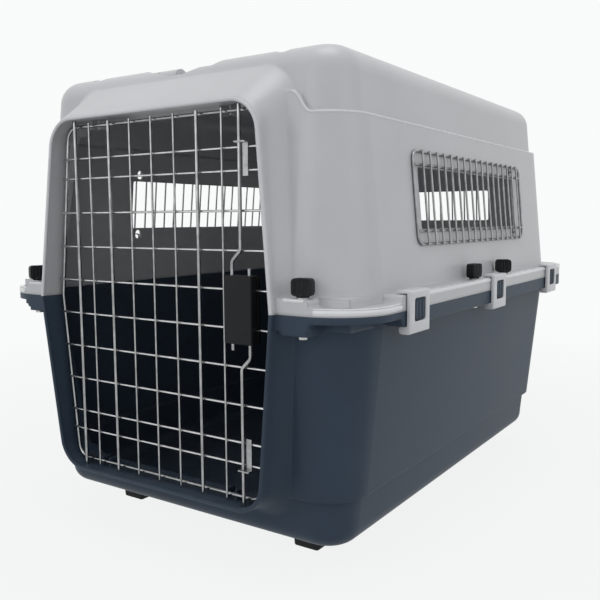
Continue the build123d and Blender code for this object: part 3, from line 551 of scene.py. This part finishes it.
shell_low, shell_high = node_box("top_shell")
parting = shell_low.z
lip_front = shell_low.y
rim_side = shell_high.x
rim_middle = 0.0045  # the rim's middle, a little behind the origin
rim_half_length = 0.4535
rim_front = rim_middle - rim_half_length
rim_bend = 0.078  # radius of the rim's corners
rim_top = parting + 0.020
doorway_half = 0.218
doorway_rise = 0.264
doorway_angle = radians(6)  # the doorway's sides lean in away from the parting
doorway_lean = tan(doorway_angle)
wall_draft = radians(5.5)
wall_side = rim_side - 0.026
wall_front = lip_front + 0.032
wall_rear = -lip_front - 0.026
clip_places = {"front": rim_middle - 0.309, "middle": rim_middle, "rear": rim_middle + 0.309}
side_turns = {"right": 0, "left": pi}


# Rolled edge of the doorway's lip, one half on each shell

lip_tilt = radians(2)
lip_inset = 0.0022
lip_bend = 0.042
lip_roll_radius = 0.0027
lip_roll_setback = 0.0012


def lip_roll(name, up, finish):
    """The doorway's outline drawn as a wire along the lip, then given a round section."""
    half, rise = doorway_half - lip_inset, doorway_rise - lip_inset
    choose()
    bpy.ops.mesh.primitive_plane_add(size=1, location=(0, rise / 2, 0))
    outline = bpy.context.object
    outline.scale = (2 * half, rise, 1)
    apply_place(outline)
    edit(outline)
    pick_corners(lambda place: place.y > rise / 2)
    narrow = (half - rise * doorway_lean) / half
    bpy.ops.transform.resize(value=(narrow, 1, 1), center_override=(0, rise, 0))
    half_corner = (pi / 2 + doorway_angle) / 2
    bpy.ops.mesh.bevel(offset=lip_bend / tan(half_corner), segments=10, affect="VERTICES")
    pick_all()
    bpy.ops.mesh.delete(type="ONLY_FACE")
    pick_edges(lambda middle, along: middle.y < 0.001 and abs(along.x) > 0.9)
    bpy.ops.mesh.delete(type="EDGE")
    choose(outline)
    bpy.ops.object.convert(target="CURVE")
    roll = round_section(bpy.context.object, lip_roll_radius)
    roll.rotation_euler = (up * (pi / 2 - lip_tilt), 0, 0)
    roll.location = (0, lip_front + lip_roll_setback, parting)
    apply_place(roll)
    settle(roll, name, finish, "shell")


# The top half is in a lighter grey than its shell, a painted highlight along the lip's rolled edge.
lip_roll("lip_roll_top", 1, "edge_painted_highlight_plastic")
lip_roll("lip_roll_base", -1, "slate_plastic")


# Rolled edges of the top shell's rim: between the clips, round the rear, on the front scoops and on the nuts' bosses

bead, bead_inset = 0.0042, 0.003
bead_height = rim_top - 0.0034
clip_clear = 0.031
end_nut, nut_clear = 0.25, 0.014  # the end nuts' distance from the middle, and the gap that the bead leaves there
scoop_bead, scoop_inset = 0.005, 0.0038
scoop_height = parting + 0.005
scoop_start = rim_front + 0.104
scoop_turn = radians(81)
boss_bead = 0.0026
boss_front = rim_front + 0.0019
boss_height = rim_top - 0.0021
boss_ends = (0.228, 0.2585)


def rim_corner(side, end, inset, height, stop):
    """Points round one corner of the rim, from its side to an angle off it."""
    steps = 14
    reach = rim_bend - inset
    centre_x = rim_side - rim_bend
    centre_y = rim_middle + end * (rim_half_length - rim_bend)
    points = []
    for step in range(steps + 1):
        angle = stop * step / steps
        points.append((side * (centre_x + reach * cos(angle)), centre_y + end * reach * sin(angle), height))
    return points


rear_edge = rim_middle + rim_half_length - bead_inset
strips = []
for side in (1, -1):
    edge = side * (rim_side - bead_inset)
    for near, far in (("front", "middle"), ("middle", "rear")):
        span = (clip_places[near] + clip_clear, clip_places[far] - clip_clear)
        strips.append(rolled_strip([(edge, y, bead_height) for y in span], bead))
    rear_start = (edge, clip_places["rear"] + clip_clear, bead_height)
    rear_stop = (side * (end_nut + nut_clear), rear_edge, bead_height)
    rear_round = rim_corner(side, 1, bead_inset, bead_height, pi / 2)[:-1]
    strips.append(rolled_strip([rear_start, *rear_round, rear_stop], bead))
    scoop_side = (side * (rim_side - scoop_inset), scoop_start, scoop_height)
    scoop_round = rim_corner(side, -1, scoop_inset, scoop_height, scoop_turn)
    strips.append(rolled_strip([scoop_side, *scoop_round], scoop_bead))
    strips.append(rolled_strip([(side * x, boss_front, boss_height) for x in boss_ends], boss_bead))
rear_span = (nut_clear - end_nut, end_nut - nut_clear)
strips.append(rolled_strip([(x, rear_edge, bead_height) for x in rear_span], bead))
# The rim's beads are in a far lighter grey than the shell, a painted highlight along the rim.
settle(joined(strips), "rim_rolls", "rim_painted_highlight_plastic", "shell")


# Rolled edge of the ledge under the crown, from the climb beside the hood round the rear to the other climb

ledge_radius, ledge_inset = 0.0023, 0.0016
ledge_rise = 0.246
ledge_height = parting + ledge_rise - 0.0014
setback = ledge_rise * tan(wall_draft)
ledge_bend = 0.085 - setback
bend_x = wall_side - setback - ledge_bend
bend_front = wall_front + setback + ledge_bend
bend_rear = wall_rear - setback - ledge_bend
climb_start, climb_end, climb_rise = 0.240, 0.207, 0.027
front_turn = radians(75)
steps = 12

half_ledge = []
for step in range(steps):
    share = 1 - step / steps
    x = climb_start + (climb_end - climb_start) * share
    rise = climb_rise * share ** 3 * (6 * share ** 2 - 15 * share + 10)
    bulge = (ledge_bend ** 2 - max(0, x - bend_x) ** 2) ** 0.5
    half_ledge.append((x, bend_front - bulge + ledge_inset + rise * tan(wall_draft), ledge_height + rise))
reach = ledge_bend - ledge_inset
for step in range(steps + 1):
    angle = front_turn * (1 - step / steps)
    half_ledge.append((bend_x + reach * cos(angle), bend_front - reach * sin(angle), ledge_height))
for step in range(steps + 1):
    angle = pi / 2 * step / steps
    half_ledge.append((bend_x + reach * cos(angle), bend_rear + reach * sin(angle), ledge_height))
other_half = [(-x, y, z) for x, y, z in reversed(half_ledge)]
# In a lighter grey than the shell, a painted highlight along the ledge's edge.
settle(rolled_strip(half_ledge + other_half, ledge_radius), "ledge_roll", "edge_painted_highlight_plastic", "shell")


# Wing nuts: an eight-sided grip with a fluted panel in each face, on a round collar with a bore for the bolt

nut_turns = {
    "front_right": 8,
    "front_left": 68,
    "rear_right": 14,
    "rear_left": -9,
    "side_right_front": 82,
    "side_right_rear": 24,
    "side_left_front": 57,
    "side_left_rear": -38,
}
grip_width, grip_depth, grip_height = 0.026, 0.013, 0.0215
grip_foot = 0.0015
grip_corner = 0.0044
grip_panel = 0.006  # only the sunk panels' faces lie nearer to the grip's middle than this
flute = 0.0026
collar_radius, collar_height = 0.0082, 0.005
bolt_bore, bore_depth = 0.0034, 0.018
nut_edge = 0.0006

grip = add_block((grip_width, grip_depth, grip_height), (0, 0, grip_foot + grip_height / 2))
edit(grip)
round_edges(lambda middle, along: abs(along.y) > 0.9, grip_corner, 2)
for face_side in (1, -1):
    ribbed_panel(
        on_face=lambda middle, normal: normal.y * face_side > 0.9,
        in_panel=lambda middle, normal: normal.y * face_side > 0.9 and abs(middle.y) < grip_panel,
        border=0.0026, sunk=0.001,
        across=(1, 0, 0), cuts=[step * flute for step in range(-3, 4)],
        on_rib=lambda middle: floor(middle.x / flute) % 2 == 0,
        slope=0.0004, rise=0.0007,
    )
soften(grip, nut_edge)
collar = add_drum(collar_radius, 0.0, collar_height)
soften(collar, nut_edge)
combine(grip, collar, "UNION")
combine(grip, add_drum(bolt_bore, -0.001, bore_depth, 24), "DIFFERENCE")
edit(grip)
pick_all()
bpy.ops.mesh.remove_doubles(threshold=0.00001)
bpy.ops.mesh.dissolve_degenerate(threshold=0.00001)
choose(grip)

nut_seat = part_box("wing_nut_front_right")[0][2]
for place_name, turn in nut_turns.items():
    node_name = "wing_nut_" + place_name
    low, high = node_box(node_name)
    middle = (low + high) / 2
    nut = copied(grip, shifted(middle.x, middle.y, nut_seat) @ turned(radians(turn), "Z"))
    settle(nut, "wing_nut_grip_" + place_name, "black_plastic", "nut_" + place_name, node_name)
drop(grip)


# Clips: a plate with a lip over the rim, a window for the catch and a rounded knuckle round the pin

clip_low, clip_high = node_box("clip_right_middle")
plate_out = clip_high.x
plate_in = plate_out - 0.005
half_clip = (clip_high.y - clip_low.y) / 2 + 0.0007
hook_x = clip_low.x + 0.001  # how far the lip reaches in over the rim
hook_z = clip_high.z - 0.0032  # the lip's underside
pin_x, pin_z = rim_side - 0.005, parting - 0.0254
knuckle_x = pin_x - 0.005
knuckle_z = clip_low.z + 0.01
reading = 0.0005  # an edge within this of a face's place is read as lying on it
window_size, window_corner = (0.03, 0.034, 0.030), 0.0035
lug_room = (0.0178, 0.0248, 0.015)  # the base shell's lug fits between the knuckle's halves
lug_gap = 0.0004
pin_bore, half_bore = 0.00235, 0.0291


def along_y(along):
    return abs(along.y) > 0.9


def at_front(middle):
    return middle.x > plate_out - reading


clip = add_block((plate_out - plate_in, 2 * half_clip, clip_high.z - clip_low.z),
                 ((plate_in + plate_out) / 2, 0, (clip_low.z + clip_high.z) / 2))
edit(clip)
for level in (hook_z, knuckle_z):
    pick_all()
    bpy.ops.mesh.bisect(plane_co=(0, 0, level), plane_no=(0, 0, 1))
pull_faces(lambda middle, normal: normal.x < -0.9 and middle.z > hook_z, hook_x - plate_in)
pull_faces(lambda middle, normal: normal.x < -0.9 and middle.z < knuckle_z, knuckle_x - plate_in)
round_edges(lambda middle, along: along_y(along) and middle.x < knuckle_x + 0.001 and middle.z < knuckle_z + 0.001,
            0.0046, 4)
round_edges(lambda middle, along: along_y(along) and at_front(middle) and middle.z > clip_high.z - reading, 0.003, 4)
round_edges(lambda middle, along: along_y(along) and at_front(middle) and middle.z < clip_low.z + reading, 0.003, 3)
round_edges(lambda middle, along: abs(along.z) > 0.9 and at_front(middle) and abs(middle.y) > half_clip - reading,
            0.0022, 3)
window = add_block(window_size, (plate_in, 0, parting))
edit(window)
round_edges(lambda middle, along: abs(along.x) > 0.9, window_corner, 4)
combine(clip, window, "DIFFERENCE")
combine(clip, add_block(lug_room, (plate_in - lug_gap - lug_room[0] / 2, 0, pin_z)), "DIFFERENCE")
bore = add_drum(pin_bore, -half_bore, half_bore, 24)
bore.rotation_euler = (pi / 2, 0, 0)
bore.location = (pin_x, 0, pin_z)
apply_place(bore)
combine(clip, bore, "DIFFERENCE")
soften(clip, 0.0005, angle=40)

for side_name, turn in side_turns.items():
    for place_name, clip_y in clip_places.items():
        name = "clip_" + side_name + "_" + place_name
        moulding = copied(clip, shifted(0, clip_y, 0) @ turned(turn, "Z"))
        settle(moulding, name + "_moulding", "clip_plastic", name + "_body", name)
drop(clip)


# Ribbed pads on the base shell's catches, which fill the clips' windows

pad_back = rim_side + 0.0029
pad_size = (0.0027, 0.0305, 0.0265)
pad_panel = rim_side + 0.0052  # only the sunk panel's faces lie behind this
pad_rib = 0.005

pad = add_block(pad_size, (pad_back + pad_size[0] / 2, 0, parting))
edit(pad)
round_edges(lambda middle, along: abs(along.x) > 0.9, 0.0032, 4)
ribbed_panel(
    on_face=lambda middle, normal: normal.x > 0.9,
    in_panel=lambda middle, normal: normal.x > 0.9 and middle.x < pad_panel,
    border=0.0028, sunk=0.0008,
    across=(0, 1, 0), cuts=[step * pad_rib for step in (-1.5, -0.5, 0.5, 1.5)],
    on_rib=lambda middle: floor(middle.y / pad_rib + 0.5) % 2 == 0,
    slope=0.0006, rise=0.0009,
)
soften(pad, 0.0004)
pad_places = []
for turn in side_turns.values():
    for clip_y in clip_places.values():
        pad_places.append(shifted(0, clip_y, 0) @ turned(turn, "Z"))
settle(copied(pad, *pad_places), "catch_pads", "slate_plastic", "shell")
drop(pad)


# Finger ridges round the carry handles' grips

ridge_radius, ridge_half = 0.0079, 0.0016
ridge_gap = 0.011
bar_inset, bar_drop = 0.008, 0.0125  # the grip's middle, from the handle's free edge and from its top

ridge = add_drum(ridge_radius, -ridge_half, ridge_half, 28)
edit(ridge)
pick_faces(lambda middle, normal: abs(normal.z) < 0.5)
bpy.ops.mesh.inset(thickness=0.0007, depth=0.0014)
choose(ridge)
for end_name in ("front", "rear"):
    low, high = node_box("carry_handle_" + end_name)
    bar_y = high.y - bar_inset if end_name == "front" else low.y + bar_inset
    ridge_places = []
    for step in range(-5, 6):
        ridge_places.append(shifted(step * ridge_gap, bar_y, high.z - bar_drop) @ turned(pi / 2, "Y"))
    settle(copied(ridge, *ridge_places), "grip_ridges_" + end_name, "light_plastic", "handle_" + end_name)
drop(ridge)


# Weld nuggets where wires cross

choose()
bpy.ops.mesh.primitive_uv_sphere_add(segments=8, ring_count=5, radius=0.0021, location=(0, 0, 0))
nugget = bpy.context.object
edit(nugget)
pick_corners(lambda place: abs(place.z) < 0.001)
bpy.ops.transform.resize(value=(1.25, 1.25, 1), center_override=(0, 0, 0))
pick_corners(lambda place: True)
bpy.ops.transform.resize(value=(1, 1, 0.6), center_override=(0, 0, 0))
choose(nugget)

door_y = lip_front + 0.027
wire_step = 0.0015  # the uprights' welds lie this far in front of the middle, the frame's as far behind
row_gap, last_row_gap = 0.0503, 0.029
upright_gap = 0.0415
door_half = 0.204
rows = [(step + 0.5) * row_gap for step in range(4)]
rows.append(rows[-1] + last_row_gap)
door_welds = []
for row in rows:
    for up in (1, -1):
        height = parting + up * row
        for step in range(-3, 4):
            door_welds.append(shifted(step * upright_gap, door_y - wire_step, height) @ turned(pi / 2, "X"))
        for side in (1, -1):
            edge = side * (door_half - row * doorway_lean)
            door_welds.append(shifted(edge, door_y + wire_step, height) @ turned(pi / 2, "X"))
settle(copied(nugget, *door_welds), "door_welds", "door_painted_shade_wire", "door")

window_rise = 0.1435
window_side = wall_side - window_rise * tan(wall_draft)
window_rear = wall_rear - window_rise * tan(wall_draft)
bar_proud = 0.0042
# Each grille's middle and turn, its length, the gaps between its bars, and half the height of its frame and rails
grilles = {
    "right": (window_side, rim_middle, 0, 0.468, 18, 0.065, 0.0465),
    "left": (-window_side, rim_middle, pi, 0.468, 18, 0.065, 0.0465),
    "rear": (0, window_rear, pi / 2, 0.401, 14, 0.054, 0.0355),
}
for side_name, (x, y, turn, length, gaps, frame_half, rail_half) in grilles.items():
    wall = shifted(x, y, parting + window_rise) @ turned(turn, "Z") @ turned(-wall_draft, "Y")
    welds = []
    for bar in range(1, gaps):
        along = -length / 2 + bar * length / gaps
        for height in (-frame_half, -rail_half, rail_half, frame_half):
            welds.append(wall @ shifted(bar_proud, along, height) @ turned(pi / 2, "Y"))
    settle(copied(nugget, *welds), "grille_welds_" + side_name, "grille_painted_shade_wire", "shell")
drop(nugget)


# Floor and surroundings: plain white where they are seen, and a soft grey room for the light

backdrop_white = (0.95, 0.966, 0.958)


def coloured(tree, kind, colour):
    """A plain shader in one colour."""
    node = tree.nodes.new(kind)
    node.inputs["Color"].default_value = (*colour, 1)
    return node


def seen_rays(tree):
    """1 for what the camera sees, also in metal and through glass."""
    rays = tree.nodes.new("ShaderNodeLightPath").outputs
    seen = math_node(tree, "MAXIMUM", rays["Is Camera Ray"], rays["Is Glossy Ray"])
    return math_node(tree, "MAXIMUM", seen, rays["Is Transmission Ray"])


def mix_shaders(tree, factor, first, second, output_kind):
    """Mix two shaders into the tree's output."""
    mix = tree.nodes.new("ShaderNodeMixShader")
    tree.links.new(factor, mix.inputs[0])
    tree.links.new(first.outputs[0], mix.inputs[1])
    tree.links.new(second.outputs[0], mix.inputs[2])
    tree.links.new(mix.outputs[0], tree.nodes.new(output_kind).inputs["Surface"])


choose()
bpy.ops.mesh.primitive_circle_add(vertices=96, radius=14.0, fill_type="NGON", location=(0, 0, 0))
ground = bpy.context.object
ground.name = "studio_floor"
floor_finish = bpy.data.materials.new("studio_floor")
floor_finish.use_nodes = True
tree = floor_finish.node_tree
tree.nodes.clear()
away = tree.nodes.new("ShaderNodeVectorMath")
away.operation = "LENGTH"
tree.links.new(object_place(tree), away.inputs[0])
plain = spread(tree, ramp_node(tree, away.outputs["Value"], 0.5, 2.2), 0.9, 1.0)
matt = coloured(tree, "ShaderNodeBsdfDiffuse", (0.6, 0.605, 0.6))
glow = coloured(tree, "ShaderNodeEmission", backdrop_white)
mix_shaders(tree, math_node(tree, "MULTIPLY", seen_rays(tree), plain), matt, glow, "ShaderNodeOutputMaterial")
ground.data.materials.append(floor_finish)

world = bpy.data.worlds.new("studio")
scene.world = world
world.use_nodes = True
tree = world.node_tree
tree.nodes.clear()
room = coloured(tree, "ShaderNodeBackground", (0.95, 0.97, 1.0))
room.inputs["Strength"].default_value = 0.7
white = coloured(tree, "ShaderNodeBackground", backdrop_white)
mix_shaders(tree, seen_rays(tree), room, white, "ShaderNodeOutputWorld")


# Lamps and camera

def softbox(name, place, target, width, height, power):
    """A rectangular lamp aimed at a point."""
    data = bpy.data.lights.new(name, "AREA")
    data.shape = "RECTANGLE"
    data.size = width
    data.size_y = height
    data.energy = power
    lamp = bpy.data.objects.new(name, data)
    lamp.location = place
    lamp.rotation_euler = (Vector(target) - Vector(place)).to_track_quat("-Z", "Y").to_euler()
    scene.collection.objects.link(lamp)


softbox("overhead", (0.3, -0.4, 2.6), (0.0, 0, 0.3), 1.2, 1.2, 12)
softbox("right", (2.6, -0.2, 1.3), (0.2, 0, 0.35), 1.6, 1.6, 5)
softbox("front", (-0.6, -3.0, 1.2), (0, -0.3, 0.4), 1.8, 1.4, 12)

yaw, pitch, roll = radians(33.866), radians(6.272), radians(0.286)
camera_place = (0.733, -1.1638, 0.4704)
forward = Vector((-sin(yaw) * cos(pitch), cos(yaw) * cos(pitch), -sin(pitch)))
across = Vector((cos(yaw), sin(yaw), 0))
down = forward.cross(across)
image_x = cos(roll) * across + sin(roll) * down
image_y = -sin(roll) * across + cos(roll) * down
camera_data = bpy.data.cameras.new("camera")
camera_data.lens = 43.94
camera_data.sensor_width = 36.0
camera = bpy.data.objects.new("camera", camera_data)
camera.matrix_world = shifted(*camera_place) @ Matrix((image_x, -image_y, -forward)).transposed().to_4x4()
scene.collection.objects.link(camera)
scene.camera = camera
scene.view_settings.view_transform = "Standard"
